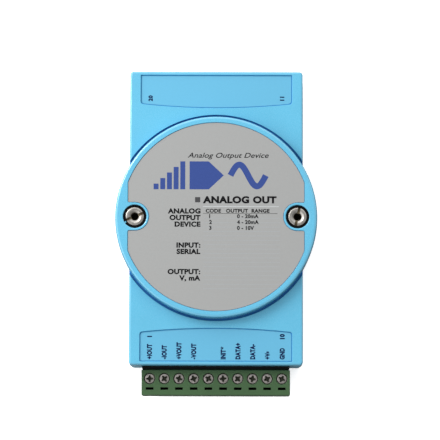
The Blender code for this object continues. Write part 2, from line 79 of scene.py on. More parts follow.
# Housing
DRAFT = 0.2  # how far the side has grown where it meets the parting line
BODY_W = 60.0
BODY_L = UPPER_HIGH.y - UPPER_LOW.y - 2 * DRAFT
CORNER_R = 1.2
DISC_R = UPPER_HIGH.x
LOBE_R = DISC_R - DRAFT
WALL = 2.0
DISC_Z = UPPER_HIGH.z
FACE_Z = DISC_Z - 4.0
EDGE = 0.7
RIM_EDGE = 0.2
RIM_GAP = 0.15
TONGUE_H = 1.0
PARTING_Z = LOWER_HIGH.z - TONGUE_H + RIM_GAP
TONGUE_INSET = 0.8
GROOVE_W = 0.8
GROOVE_Z = FACE_Z - 1.2
DISC_ROOT_Z = GROOVE_Z - 0.3
DISC_TAPER = 0.3
DISC_EDGE_OUT = 0.95
DISC_EDGE_DOWN = 0.45
DISC_WALL = 2.4
SCREW_BOSS_R = 5.4
SHANK_HOLE_R = 2.3
INSERT_BOSS_R = 4.7
INSERT_BOSS_TOP = 9.5
INSERT_BORE_R = 2.6
OPENING_GAP = 0.3
FLANGE_DEPTH = 1.3

# Labels
LABEL_R = LABEL_HIGH.y
LABEL_CUT_X = LABEL_HIGH.x
LABEL_NOTCH_R = 5.05
LABEL_RECESS = 0.25
LABEL_GAP = 0.14
LABEL_FLOOR_Z = LABEL_LOW.z - 0.08
PANEL_MARGIN = 0.2
PANEL_GAP = 0.28
PANEL_X = MARKING_HIGH.x + PANEL_MARGIN
PANEL_OUTER_Y = MARKING_HIGH.y + PANEL_MARGIN
PANEL_BULGE = 1.4
PANEL_INNER_Y = MARKING_LOW.y - PANEL_MARGIN + PANEL_BULGE
PANEL_FILM_Z = (MARKING_LOW.z - 0.2, MARKING_LOW.z - 0.08)
PANEL_FLOOR_Z = PANEL_FILM_Z[0] - 0.05

# Stacking screws
SCREW_X = -(SCREW_LOW.x + SCREW_HIGH.x) / 2
HEAD_R = SCREW_HIGH.y - 0.08
BUSH_R = BUSH_HIGH.y - 0.06
BUSH_BORE_R = 3.22
COUNTERBORE_R = BUSH_R + 0.1
COUNTERBORE_Z = BUSH_LOW.z - 0.4
SLOT_HALF = 0.46
SLOT_DEPTH = 1.0
THREAD_PITCH = 0.5
KEY_ANGLE = 212.0
KEY_HALF = 0.22
KEY_NOTCH_HALF = 0.3
MINOR_R = 1.25
MAJOR_R = 1.48
TAPPED_R = 1.42
TAPPED_DEPTH = 4.0
DISH_DEPTH = 0.5
SHANK_R = 1.9
SHANK_Z = (9.5, 25.3)
TIP_THREAD_TOP = 9.0
BUSH_FLOOR = 1.0
BUSH_HOLE_R = 2.1

# Print
INK_LIFT = 0.004
INK_THICKNESS = 0.008
CAPITAL = 0.69
HEADING_X = -4.6
HEADING_RULE_X = 21.6
HEADING_RULE_Y = 3.36
CAPTION_RIGHT = -5.4
TABLE_X = (-4.5, 21.1)
TABLE_TOP = 1.0
TABLE_ROW = 2.03
FAINT_RULES = 17
FAINT_ROW = 1.52
PICTOGRAM_Y = (9.4, 19.1)
NAME_Y = -49.0

# Terminal block
POLES = 10
PITCH = 5.08
CLAMP_Y = (CLAMP_LOW.y + CLAMP_HIGH.y) / 2
PLUG_BACK = PLUG_LOW.y + 8.7
SHROUD_WALL = 1.1
POCKET_HALF = (2.2, 2.3)
POCKET_TOP = 19.2
CHANNEL_HALF = 1.5
ENTRY_HALF = 2.15
ENTRY_Z = 12.35
PROBE_PLACE = 2.25
PROBE_HALF = (1.32, 0.42)
PROBE_DEPTH = 6.0
WELL_R = 1.95
WELL_FLOOR = 18.0

SIDES = (("left", -1), ("right", 1))


# ---------------------------------------------------------------- mesh helpers


def link(name, mesh):
    obj = bpy.data.objects.new(name, mesh)
    bpy.context.scene.collection.objects.link(obj)
    return obj


def to_object(name, bm):
    """Turns a bmesh in millimetres into an object in metres, with its normals pointing out."""
    bmesh.ops.recalc_face_normals(bm, faces=bm.faces)
    bmesh.ops.scale(bm, vec=(MM, MM, MM), verts=bm.verts)
    mesh = bpy.data.meshes.new(name)
    bm.to_mesh(mesh)
    bm.free()
    return link(name, mesh)


def loft(name, rings):
    """A closed solid through rings of equal point count, capped at both ends."""
    bm = bmesh.new()
    loops = [[bm.verts.new(point) for point in ring] for ring in rings]
    count = len(rings[0])
    for low, high in zip(loops, loops[1:]):
        for i in range(count):
            j = (i + 1) % count
            bm.faces.new((low[i], low[j], high[j], high[i]))
    bm.faces.new(list(reversed(loops[0])))
    bm.faces.new(loops[-1])
    return to_object(name, bm)


def at_height(outline, z):
    return [(x, y, z) for x, y in outline]


def arc(radius, centre, start, end, count):
    """Points on an arc from start to end, in degrees, both ends included."""
    angles = [math.radians(start + (end - start) * i / count) for i in range(count + 1)]
    return [
        (centre[0] + radius * math.cos(a), centre[1] + radius * math.sin(a)) for a in angles
    ]


def circle(radius, centre=(0.0, 0.0), count=48):
    return arc(radius, centre, 0, 360, count)[:-1]


def rectangle(x_range, y_range):
    (x0, x1), (y0, y1) = x_range, y_range
    return [(x0, y0), (x1, y0), (x1, y1), (x0, y1)]


def block(name, x_range, y_range, z_range):
    outline = rectangle(x_range, y_range)
    return loft(name, [at_height(outline, z) for z in z_range])


def post(name, radius, z_range, centre=(0.0, 0.0), count=48):
    """A plain round bar."""
    return loft(name, [at_height(circle(radius, centre, count), z) for z in z_range])


def round_corners(outline, radius_at, steps=5, least_turn=12.0):
    """Replaces each corner that turns by more than least_turn degrees with an arc."""
    made = []
    count = len(outline)
    for i, point in enumerate(outline):
        here = Vector(point)
        back = (Vector(outline[i - 1]) - here).normalized()
        ahead = (Vector(outline[(i + 1) % count]) - here).normalized()
        turn = math.pi - back.angle(ahead)
        radius = radius_at(point)
        if math.degrees(turn) < least_turn or radius <= 0:
            made.append(point)
            continue
        reach = radius * math.tan(turn / 2)
        start, end = here + back * reach, here + ahead * reach
        middle = here + (back + ahead).normalized() * (radius / math.cos(turn / 2))
        for k in range(steps + 1):
            share = k / steps
            outward = (start - middle).slerp(end - middle, share)
            made.append(tuple(middle + outward * radius))
    return made


def quarter(steps=6):
    """(out, up) pairs along a quarter round, from (0, 0) at the side to (1, 1) at the top."""
    return [
        (1 - math.cos(math.pi / 2 * k / steps), math.sin(math.pi / 2 * k / steps))
        for k in range(steps + 1)
    ]


def lathe(name, profile, count=64, centre=(0.0, 0.0)):
    """Turns (radius, z) points about a vertical axis.

    A profile that starts and ends on the axis makes a solid, and one that doesn't is closed into
    a ring.
    """
    bm = bmesh.new()
    columns = []
    for radius, z in profile:
        if radius == 0:
            columns.append([bm.verts.new((centre[0], centre[1], z))] * count)
        else:
            columns.append([bm.verts.new((x, y, z)) for x, y in circle(radius, centre, count)])
    pairs = list(zip(columns, columns[1:]))
    if profile[0][0] != 0:
        pairs.append((columns[-1], columns[0]))
    for low, high in pairs:
        for i in range(count):
            j = (i + 1) % count
            corners = []
            for vertex in (low[i], low[j], high[j], high[i]):
                if vertex not in corners:
                    corners.append(vertex)
            if len(corners) > 2:
                bm.faces.new(corners)
    return to_object(name, bm)


def apply_modifiers(obj):
    graph = bpy.context.evaluated_depsgraph_get()
    result = bpy.data.meshes.new_from_object(obj.evaluated_get(graph))
    obj.modifiers.clear()
    obj.data = result
    return obj


def combine(target, tool, operation):
    modifier = target.modifiers.new(operation.lower(), "BOOLEAN")
    modifier.operation = operation
    modifier.solver = "EXACT"
    modifier.object = tool
    apply_modifiers(target)
    bpy.data.objects.remove(tool, do_unlink=True)
    return target


def add(target, tool):
    return combine(target, tool, "UNION")


def cut(target, tool):
    return combine(target, tool, "DIFFERENCE")


def bevel(obj, width, segments=3, angle=30.0):
    modifier = obj.modifiers.new("bevel", "BEVEL")
    modifier.width = width * MM
    modifier.segments = segments
    modifier.limit_method = "ANGLE"
    modifier.angle_limit = math.radians(angle)
    return apply_modifiers(obj)


def merged(name, objects):
    """One object from several that don't touch, such as the cutters for a row of holes."""
    bm = bmesh.new()
    for obj in objects:
        obj.data.transform(obj.matrix_world)
        bm.from_mesh(obj.data)
        bpy.data.objects.remove(obj, do_unlink=True)
    mesh = bpy.data.meshes.new(name)
    bm.to_mesh(mesh)
    bm.free()
    return link(name, mesh)


def shade(obj, angle=32.0):
    """Smooth shading that keeps sharp edges crisp and large flat faces flat."""
    bm = bmesh.new()
    bm.from_mesh(obj.data)
    bmesh.ops.remove_doubles(bm, verts=bm.verts, dist=1e-8)
    bmesh.ops.dissolve_degenerate(bm, edges=bm.edges, dist=1e-8)
    bm.to_mesh(obj.data)
    bm.free()
    obj.data.shade_smooth()
    obj.data.set_sharp_from_angle(angle=math.radians(angle))
    modifier = obj.modifiers.new("flat_faces", "WEIGHTED_NORMAL")
    modifier.keep_sharp = True
    return obj


def dress(obj, material):
    obj.data.materials.clear()
    obj.data.materials.append(material)
    return obj


def paint(obj, material, inside):
    """Gives a further material to the faces whose centres, in millimetres, pass a test."""
    obj.data.materials.append(material)
    index = len(obj.data.materials) - 1
    for face in obj.data.polygons:
        if inside(*(face.center / MM)):
            face.material_index = index


def place(obj, material, body, slot, *nodes):
    """Gives a finished piece its material and body, and hides the CAD nodes it stands for.

    The material is None on a piece that already has its own.
    """
    if material:
        dress(obj, material)
    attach(obj, body)
    if nodes:
        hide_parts(*nodes)
    return obj


def pole_x(index):
    return (index - (POLES - 1) / 2) * PITCH


def pole_name(stem, index):
    return f"{stem}_{index + 1:02d}"


# ---------------------------------------------------------------- materials


class Surface:
    """A Principled material with its node tree, built up a layer at a time."""

    def __init__(self, name, roughness=0.5, metallic=0.0, specular=0.5):
        self.material = bpy.data.materials.new(name)
        self.material.use_nodes = True
        self.tree = self.material.node_tree
        self.shader = self.tree.nodes["Principled BSDF"]
        self.shader.inputs["Roughness"].default_value = roughness
        self.shader.inputs["Metallic"].default_value = metallic
        self.shader.inputs["Specular IOR Level"].default_value = specular
        self.place = self.node("ShaderNodeTexCoord").outputs["Object"]

    def node(self, kind, **settings):
        made = self.tree.nodes.new(kind)
        for key, value in settings.items():
            setattr(made, key, value)
        return made

    def join(self, source, target):
        self.tree.links.new(source, target)

    def noise(self, size_mm, detail=3.0, rough=0.55, stretch=(1, 1, 1)):
        """A noise value between 0 and 1 whose features are about size_mm across."""
        mapping = self.node("ShaderNodeMapping")
        mapping.inputs["Scale"].default_value = stretch
        self.join(self.place, mapping.inputs["Vector"])
        noise = self.node("ShaderNodeTexNoise")
        noise.inputs["Scale"].default_value = 1.0 / (size_mm * MM)
        noise.inputs["Detail"].default_value = detail
        noise.inputs["Roughness"].default_value = rough
        self.join(mapping.outputs["Vector"], noise.inputs["Vector"])
        return noise.outputs["Fac"]

    def ramp(self, value, low, high, colour_low, colour_high):
        ramp = self.node("ShaderNodeValToRGB")
        ramp.color_ramp.elements[0].position = low
        ramp.color_ramp.elements[1].position = high
        ramp.color_ramp.elements[0].color = (*colour_low, 1)
        ramp.color_ramp.elements[1].color = (*colour_high, 1)
        self.join(value, ramp.inputs["Fac"])
        return ramp.outputs["Color"]

    def range(self, value, low, high):
        """Maps a 0 to 1 value to low to high."""
        node = self.node("ShaderNodeMapRange")
        node.inputs["To Min"].default_value = low
        node.inputs["To Max"].default_value = high
        self.join(value, node.inputs["Value"])
        return node.outputs["Result"]

    def colour(self, socket):
        self.join(socket, self.shader.inputs["Base Color"])

    def vary_roughness(self, value, low, high):
        self.join(self.range(value, low, high), self.shader.inputs["Roughness"])

    def bump(self, value, depth_mm, strength=1.0):
        """Adds a bump layer on top of the ones already there."""
        node = self.node("ShaderNodeBump")
        node.inputs["Strength"].default_value = strength
        node.inputs["Distance"].default_value = depth_mm * MM
        normal = self.shader.inputs["Normal"]
        if normal.is_linked:
            self.join(normal.links[0].from_socket, node.inputs["Normal"])
        self.join(value, node.inputs["Height"])
        self.join(node.outputs["Normal"], normal)


def scaled(colour, factor):
    return tuple(min(1.0, c * factor) for c in colour)


def moulded_plastic(
    name, colour, roughness, grain_mm=0.22, grain_depth=0.004, spread=0.03, specular=0.5
):
    """Spark-textured plastic, or a dull coat: a fine grain, and a slow drift of its colour."""
    surface = Surface(name, roughness, specular=specular)
    drift = surface.noise(14.0, detail=2.0)
    surface.colour(
        surface.ramp(drift, 0.3, 0.7, scaled(colour, 1 - spread), scaled(colour, 1 + spread))
    )
    grain = surface.noise(grain_mm, detail=4.0, rough=0.6)
    surface.vary_roughness(grain, roughness - 0.06, roughness + 0.08)
    surface.bump(grain, grain_depth)
    return surface.material


def printed_film(name, colour, roughness):
    """Matt polyester film with a fine calendered texture."""
    surface = Surface(name, roughness, specular=0.2)
    mottle = surface.noise(0.8, detail=5.0, rough=0.65)
    surface.colour(surface.ramp(mottle, 0.3, 0.7, scaled(colour, 0.985), scaled(colour, 1.015)))
    fine = surface.noise(0.12, detail=2.0)
    surface.vary_roughness(fine, roughness - 0.05, roughness + 0.05)
    surface.bump(fine, 0.0012)
    return surface.material


def ink(name, colour):
    """Screen-printed ink: nearly flat, with small gaps in its cover."""
    surface = Surface(name, 0.6, specular=0.08)
    cover = surface.noise(0.15, detail=2.0)
    surface.colour(surface.ramp(cover, 0.25, 0.75, scaled(colour, 0.9), scaled(colour, 1.12)))
    surface.bump(cover, 0.0008)
    return surface.material


def turned_metal(name, colour, roughness, ring_mm=0.12, stain=0.12):
    """Turned and plated metal: fine rings about the piece's own axis, with faint stains."""
    surface = Surface(name, roughness, metallic=1.0)
    split = surface.node("ShaderNodeSeparateXYZ")
    surface.join(surface.place, split.inputs["Vector"])
    flat = surface.node("ShaderNodeCombineXYZ")
    surface.join(split.outputs["X"], flat.inputs["X"])
    surface.join(split.outputs["Y"], flat.inputs["Y"])
    length = surface.node("ShaderNodeVectorMath", operation="LENGTH")
    surface.join(flat.outputs["Vector"], length.inputs[0])
    rings = surface.node("ShaderNodeTexNoise", noise_dimensions="1D")
    rings.inputs["Scale"].default_value = 1.0 / (ring_mm * MM)
    rings.inputs["Detail"].default_value = 3.0
    surface.join(length.outputs["Value"], rings.inputs["W"])
    surface.bump(rings.outputs["Fac"], 0.004)
    stains = surface.noise(0.7, detail=3.0)
    surface.colour(surface.ramp(stains, 0.3, 0.7, scaled(colour, 1 - stain), scaled(colour, 1.0)))
    surface.vary_roughness(stains, roughness - 0.08, roughness + 0.12)
    return surface.material


def plated_metal(name, colour, roughness):
    """Stamped and plated metal: short rolling marks and a soft variation in gloss."""
    surface = Surface(name, roughness, metallic=1.0)
    marks = surface.noise(0.4, detail=3.0, stretch=(8, 1, 8))
    surface.colour(surface.ramp(marks, 0.3, 0.7, scaled(colour, 0.9), colour))
    surface.vary_roughness(marks, roughness - 0.08, roughness + 0.1)
    surface.bump(marks, 0.002)
    return surface.material


def laminate(name, colour):
    """Solder mask over woven glass laminate."""
    surface = Surface(name, 0.3)
    weave = surface.node("ShaderNodeTexWave", wave_type="BANDS", bands_direction="DIAGONAL")
    weave.inputs["Scale"].default_value = 900.0
    surface.join(surface.place, weave.inputs["Vector"])
    cloud = surface.noise(5.0)
    surface.colour(surface.ramp(cloud, 0.35, 0.65, scaled(colour, 0.8), scaled(colour, 1.15)))
    surface.bump(weave.outputs["Fac"], 0.004)
    return surface.material


BLUE = (0.106, 0.405, 0.590)
BLACK = (0.0025, 0.0025, 0.003)
BROWN = (0.150, 0.118, 0.072)

M_BLUE = moulded_plastic("blue_plastic", BLUE, 0.26)
M_EDGE = moulded_plastic("blue_plastic_edge", BLUE, 0.16, grain_depth=0.0015, specular=1.0)
# painted shade: a darker blue for the groove round the disc
M_GROOVE_SHADE = moulded_plastic("blue_plastic_groove_shade", (0.025, 0.175, 0.450), 0.6, specular=0.15)
# painted shade: a darker blue for the walls and floors of the recesses
M_RECESS_SHADE = moulded_plastic("blue_plastic_recess_shade", (0.045, 0.285, 0.580), 0.6, specular=0.15)
M_GREEN = moulded_plastic("green_plastic", (0.034, 0.086, 0.029), 0.42, 0.3, 0.006, 0.08)
M_BLACK = moulded_plastic("black_plastic", BLACK, 0.5, 0.25, 0.004, 0.1, specular=0.2)
# black plastic of the bushes, also painted into the plug's probe slots as shade
M_BUSH_AND_SLOT_SHADE = moulded_plastic("black_bush_and_slot_shade", BLACK, 0.6, 0.25, 0.004, 0.1, specular=0.05)
M_CHIP = moulded_plastic("moulded_epoxy", (0.018, 0.018, 0.020), 0.5, 0.2, 0.003, 0.1)
M_SLEEVE = moulded_plastic("capacitor_sleeve", (0.012, 0.018, 0.07), 0.3, 0.5, 0.002, 0.05)

M_SLOT = moulded_plastic("tarnished_nickel", BROWN, 0.7, 0.3, 0.004, 0.4, specular=0.3)
# painted shade: nearly black for the stacking screws' tapped holes
M_HOLE_SHADE = moulded_plastic("painted_hole_shade", (0.030, 0.024, 0.018), 0.8, 0.15, 0.004, 0.3, specular=0.1)
# painted shade: a dark greenish grey for the clamp screws' cross recesses
M_STAR_SHADE = moulded_plastic("painted_star_shade", (0.055, 0.058, 0.040), 0.7, 0.15, 0.004, 0.3, specular=0.3)

M_PANEL = printed_film("panel_film", (0.108, 0.370, 0.550), 0.5)
M_LABEL = printed_film("label_film", (0.290, 0.294, 0.291), 0.7)

M_NICKEL = turned_metal("nickel_plate", (0.45, 0.43, 0.40), 0.34)
M_ZINC = turned_metal("zinc_plate", (0.55, 0.51, 0.485), 0.32, 0.1, 0.35)
M_BRASS = turned_metal("turned_brass", (0.62, 0.43, 0.16), 0.3)
M_TIN = plated_metal("tin_plate", (0.62, 0.60, 0.55), 0.35)
M_BOARD = laminate("board_laminate", (0.012, 0.11, 0.045))

M_MARK = ink("ink_blue", (0.034, 0.062, 0.218))
M_INK = ink("ink_black", (0.004, 0.004, 0.005))
M_NAVY = ink("ink_navy", (0.004, 0.008, 0.050))
M_WHITE = ink("ink_white", (0.46, 0.48, 0.49))
M_PALE = ink("ink_pale", (0.300, 0.313, 0.322))
M_GREY = ink("ink_grey", (0.055, 0.055, 0.058))


# ---------------------------------------------------------------- outlines


def body_outline(inset):
    """The housing from the front: a rounded rectangle joined to the circle of the disc."""
    half_w = BODY_W / 2 - inset
    half_l = BODY_L / 2 - inset
    lobe = LOBE_R - inset
    corner = max(CORNER_R - inset, 0.3)
    reach = math.degrees(math.acos(half_w / lobe))
    corner_x, corner_y = half_w - corner, half_l - corner
    half = arc(lobe, (0, 0), -reach, reach, 32)
    half += arc(corner, (corner_x, corner_y), 0, 90, 8)
    half += arc(corner, (-corner_x, corner_y), 90, 180, 8)
    return half + [(-x, -y) for x, y in half]


def label_outline(grow):
    """A circle with straight sides and a notch round each stacking screw."""
    radius = LABEL_R + grow
    cut_x = LABEL_CUT_X + grow
    notch = LABEL_NOTCH_R - grow
    start = math.degrees(math.acos(cut_x / radius))
    right = [(cut_x, -notch)] + arc(notch, (SCREW_X, 0), 270, 90, 32) + [(cut_x, notch)]
    left = [(-x, -y) for x, y in right]
    top = arc(radius, (0, 0), start, 180 - start, 90)
    bottom = [(-x, -y) for x, y in top]
    corner = 0.25 + grow
    return round_corners(right + top + left + bottom, lambda point: corner, steps=4)


def label_recess_outline(grow):
    return label_outline(LABEL_RECESS + grow)


def panel_outline(side, grow):
    """The shallow panel at one end: square at the outer edge, curved towards the disc."""
    half = PANEL_X + grow
    radius = (PANEL_X**2 + PANEL_BULGE**2) / (2 * PANEL_BULGE)
    centre_y = PANEL_INNER_Y - PANEL_BULGE + radius - grow
    spread = math.degrees(math.asin(half / radius))
    inner = arc(radius, (0, centre_y), 270 - spread, 270 + spread, 18)
    outer_y = PANEL_OUTER_Y + grow
    outline = inner + [(half, outer_y), (-half, outer_y)]
    middle_y = (PANEL_INNER_Y + PANEL_OUTER_Y) / 2
    rounded = round_corners(outline, lambda p: 1.0 if p[1] < middle_y else 0.25, steps=5)
    return [(x * side, y * side) for x, y in rounded]


# ---------------------------------------------------------------- housing


def cover_rings(face_z, rim_z, inner, up):
    """Rings of one shell, from its face down its outside to its rim and up its inside.

    inner holds the inset and height of each inside ring, and up is 1 when the face is above the
    rim.
    """
    steps = [(EDGE * out, face_z - up * EDGE * (1 - rise)) for out, rise in reversed(quarter())]
    steps.append((-DRAFT, rim_z + up * RIM_EDGE))
    steps.append((RIM_EDGE * 0.3 - DRAFT, rim_z + up * RIM_EDGE * 0.3))
    steps.append((RIM_EDGE - DRAFT, rim_z))
    steps += inner
    return [at_height(body_outline(inset), z) for inset, z in steps]


def recess_cutter(name, outline, floor_z, top_z, lip=0.12):
    """A cutter for a shallow recess whose upper edge is softened by a small round."""
    rings = [at_height(outline(0.0), floor_z), at_height(outline(0.0), top_z - lip)]
    rings += [
        at_height(outline(lip * out), top_z - lip + lip * rise) for out, rise in quarter(3)[1:]
    ]
    rings.append(at_height(outline(lip + 0.5), top_z + 0.5))
    return loft(name, rings)


def hole_cutter(name, radius, floor_z, top_z, centre, lip, count=64):
    """A cutter for a round hole with a small round at its mouth."""
    profile = [(0, floor_z), (radius, floor_z), (radius, top_z - lip)]
    profile += [(radius + lip * out, top_z - lip + lip * rise) for out, rise in quarter(4)[1:]]
    profile += [(radius + lip + 0.5, top_z + 0.5), (0, top_z + 0.5)]
    return lathe(name, profile, count, centre)


def disc_solid():
    """The raised disc with a rounded rim and a slightly drafted side."""
    top_r = DISC_R - DISC_TAPER
    profile = [(0, DISC_ROOT_Z), (DISC_R - 0.15, DISC_ROOT_Z), (DISC_R, DISC_ROOT_Z + 0.15)]
    profile.append((DISC_R, FACE_Z))
    profile += [
        (top_r - DISC_EDGE_OUT * out, DISC_Z - DISC_EDGE_DOWN * (1 - rise))
        for out, rise in quarter(10)
    ]
    profile.append((0, DISC_Z))
    return lathe("disc", profile, 192)


def add_bush_key(cover):
    """A small key in the left counterbore that stops the captive bush turning."""
    key_x = (BUSH_BORE_R + 0.3, COUNTERBORE_R + 0.5)
    key = block("key", key_x, (-KEY_HALF, KEY_HALF), (COUNTERBORE_Z, DISC_Z - 0.35))
    key.rotation_euler.z = math.radians(KEY_ANGLE)
    key.location.x = -SCREW_X * MM
    bpy.context.view_layer.update()
    add(cover, key)


def make_front_cover():
    rim_z = PARTING_Z + RIM_GAP
    rebate_z = PARTING_Z + TONGUE_H + 0.3
    rebate = TONGUE_INSET - DRAFT
    inner = ((rebate, rim_z), (rebate, rebate_z), (WALL, rebate_z), (WALL, FACE_Z - WALL))
    cover = loft("front_cover", cover_rings(FACE_Z, rim_z, inner, 1))
    cut(cover, hole_cutter("groove", DISC_R + GROOVE_W, GROOVE_Z, FACE_Z, (0, 0), 0.15, 192))
    add(cover, disc_solid())
    cut(cover, post("cavity", DISC_R - DISC_WALL, (FACE_Z - 3, DISC_Z - WALL), count=96))
    for side in (-1, 1):
        centre = (side * SCREW_X, 0)
        add(cover, post("boss", SCREW_BOSS_R, (rebate_z, DISC_Z - 1), centre))
        cut(cover, hole_cutter("bore", COUNTERBORE_R, COUNTERBORE_Z, DISC_Z, centre, 0.3))
        cut(cover, post("shank_hole", SHANK_HOLE_R, (rebate_z - 1, DISC_Z), centre))
    cut(cover, recess_cutter("label_recess", label_recess_outline, LABEL_FLOOR_Z, DISC_Z))
    for side in (-1, 1):
        cut(cover, recess_cutter("panel", partial(panel_outline, side), PANEL_FLOOR_Z, FACE_Z))
    add_bush_key(cover)
    cut_openings(cover, (PARTING_Z - 1, HEADER_HIGH.z + OPENING_GAP))
    shade(cover)
    dress(cover, M_BLUE)
    # painted shade: a darker blue in the groove round the disc
    paint(cover, M_GROOVE_SHADE, in_groove)
    # painted shade: a darker blue on the walls and floors of the label recess and end panels
    paint(cover, M_RECESS_SHADE, in_recess)
    paint(cover, M_EDGE, on_edge)
    return place(cover, None, "housing", "housing_plastic", "upper_shell")


def on_edge(x, y, z):
    """Whether a point is on a rounded edge: the disc's rim, the cover's edge or a counterbore."""
    if z > DISC_Z - DISC_EDGE_DOWN - 0.01:
        on_rim = math.hypot(x, y) > DISC_R - DISC_TAPER - DISC_EDGE_OUT
        by_screw = math.hypot(abs(x) - SCREW_X, y) < COUNTERBORE_R + 0.3
        return (on_rim or by_screw) and z < DISC_Z - 0.004
    near_side = abs(x) > BODY_W / 2 - EDGE or abs(y) > BODY_L / 2 - EDGE
    return near_side and FACE_Z - EDGE < z < FACE_Z - 0.004


def in_groove(x, y, z):
    """Whether a point is in the groove round the foot of the disc, painted darker as shade."""
    radius = math.hypot(x, y)
    beside = DISC_R - 0.05 < radius < DISC_R + GROOVE_W + 0.05
    return beside and GROOVE_Z - 0.1 < z < FACE_Z - 0.1


def in_recess(x, y, z):
    """Whether a point is on the wall or floor of the label recess or of an end panel: painted shade.
    """
    if math.hypot(x, y) < DISC_R - 1:
        beside_screw = math.hypot(abs(x) - SCREW_X, y) < COUNTERBORE_R + 0.4
        return not beside_screw and LABEL_FLOOR_Z - 0.01 < z < DISC_Z - 0.1
    in_panel = PANEL_INNER_Y - PANEL_BULGE - 0.2 < abs(y) < PANEL_OUTER_Y + 0.2
    return abs(x) < PANEL_X + 0.2 and in_panel and PANEL_FLOOR_Z - 0.01 < z < FACE_Z - 0.1


def cut_openings(shell, z_range):
    """The connector opening in each end wall."""
    half = HEADER_HIGH.x + OPENING_GAP
    for side in (-1, 1):
        y_range = sorted((side * (BODY_L / 2 - 3), side * (BODY_L / 2 + 1)))
        cut(shell, block("opening", (-half, half), y_range, z_range))


def make_rear_cover():
    rim_z = PARTING_Z - RIM_GAP
    tongue_z = rim_z + TONGUE_H
    inner = ((TONGUE_INSET, rim_z), (TONGUE_INSET, tongue_z), (WALL - DRAFT, tongue_z), (WALL, WALL))
    cover = loft("rear_cover", cover_rings(0.0, rim_z, inner, -1))
    for side in (-1, 1):
        centre = (side * SCREW_X, 0)
        add(cover, post("boss", INSERT_BOSS_R, (WALL / 2, INSERT_BOSS_TOP), centre))
        cut(cover, post("bore", INSERT_BORE_R, (-1, INSERT_BOSS_TOP + 1), centre))
    cut_openings(cover, (BOARD_HIGH.z, PARTING_Z + 5))
    shade(cover)
    return place(cover, M_BLUE, "housing", "housing_plastic", "lower_shell")


def film(name, outline, gap, z_range):
    """A thin film, gap inside an outline, with a slightly rounded upper edge."""
    low, high = z_range
    edge = min(0.06, (high - low) / 2)
    steps = ((0.0, low), (0.0, high - edge), (edge * 0.3, high - edge * 0.3), (edge, high))
    return shade(loft(name, [at_height(outline(-gap - inset), z) for inset, z in steps]))


def make_labels():
    label = film("round_label", label_recess_outline, LABEL_GAP, (LABEL_LOW.z, LABEL_HIGH.z))
    place(label, M_LABEL, "housing", "front_label_film", "front_label")
    for name, side in (("upper_marking", 1), ("lower_marking", -1)):
        marking = film(name, partial(panel_outline, side), PANEL_GAP, PANEL_FILM_Z)
        place(marking, M_PANEL, "housing", "marking_film", f"{name}_label")


def make_end_blank():
    """The plate in the unused opening, with the flange that holds it behind the end wall."""
    flange_y = (BLANK_LOW.y, BLANK_LOW.y + FLANGE_DEPTH)
    plate_x = (-HEADER_HIGH.x, HEADER_HIGH.x)
    plate_y = (flange_y[1] - 0.1, BLANK_HIGH.y)
    plate = block("end_blank_plate", plate_x, plate_y, (HEADER_LOW.z, HEADER_HIGH.z))
    flange_x = (-BLANK_HIGH.x, BLANK_HIGH.x)
    add(plate, block("flange", flange_x, flange_y, (BLANK_LOW.z, BLANK_HIGH.z)))
    bevel(plate, 0.2, 2)
    shade(plate)
    return place(plate, M_BLUE, "housing", "housing_plastic", "end_blank")


# ---------------------------------------------------------------- stacking screws


def thread(low, high, root, crest, pitch=THREAD_PITCH):
    """(radius, z) points of a thread drawn as rings, from low to high."""
    turns = max(1, round((high - low) / pitch))
    step = (high - low) / turns
    points = []
    for k in range(turns):
        base = low + k * step
        points += [(root, base), (root, base + 0.15 * step), (crest, base + 0.5 * step)]
        points.append((crest, base + 0.65 * step))
    points.append((root, high))
    return points


def stacking_screw_profile():
    """From the tip up the outside, over the head, and down the tapped hole in the head."""
    top, base = SCREW_HIGH.z, SCREW_LOW.z
    hole_base, hole_top = top - TAPPED_DEPTH, top - DISH_DEPTH
    head_base = SHANK_Z[1]
    profile = [(0, base), (0.95, base), (MINOR_R, base + 0.35)]
    profile += thread(base + 0.4, TIP_THREAD_TOP, MINOR_R, MAJOR_R)
    profile += [(SHANK_R, z) for z in SHANK_Z]
    profile += [(HEAD_R - 0.15, head_base), (HEAD_R, head_base + 0.15)]
    profile += [(HEAD_R, top - 0.2), (HEAD_R - 0.06, top - 0.06), (HEAD_R - 0.2, top)]
    profile += [(2.15, top), (2.05, top - 0.04), (1.45, hole_top)]
    tapped = thread(hole_base, hole_top, MINOR_R, TAPPED_R)
    profile += [(r, hole_base + hole_top - z) for r, z in tapped]
    return profile + [(1.1, hole_base - 0.2), (0, hole_base - 0.6)]


def make_stacking_screw(side_name, side):
    """One slotted screw, with the slot tarnished and the tapped hole painted dark as shade."""
    top = SCREW_HIGH.z
    screw = lathe(f"stacking_screw_body_{side_name}", stacking_screw_profile(), 64)
    cut(screw, block("slot", (-4, 4), (-SLOT_HALF, SLOT_HALF), (top - SLOT_DEPTH, top + 1)))
    shade(screw, 28)
    dress(screw, M_NICKEL)
    paint(screw, M_SLOT, lambda x, y, z: abs(y) < SLOT_HALF + 0.02 and top - 2 < z < top - 0.1)
    # painted shade: the tapped hole is painted nearly black
    hole_top = top - DISH_DEPTH + 0.05
    paint(screw, M_HOLE_SHADE, lambda x, y, z: math.hypot(x, y) < 1.44 and top - 5 < z < hole_top)
    node = f"stacking_screw_{side_name}"
    screw.location.x = side * SCREW_X * MM
    screw.rotation_euler.z = math.radians({"left": 22.0, "right": 78.0}[side_name])
    return place(screw, None, node, "stacking_screw_metal", node)


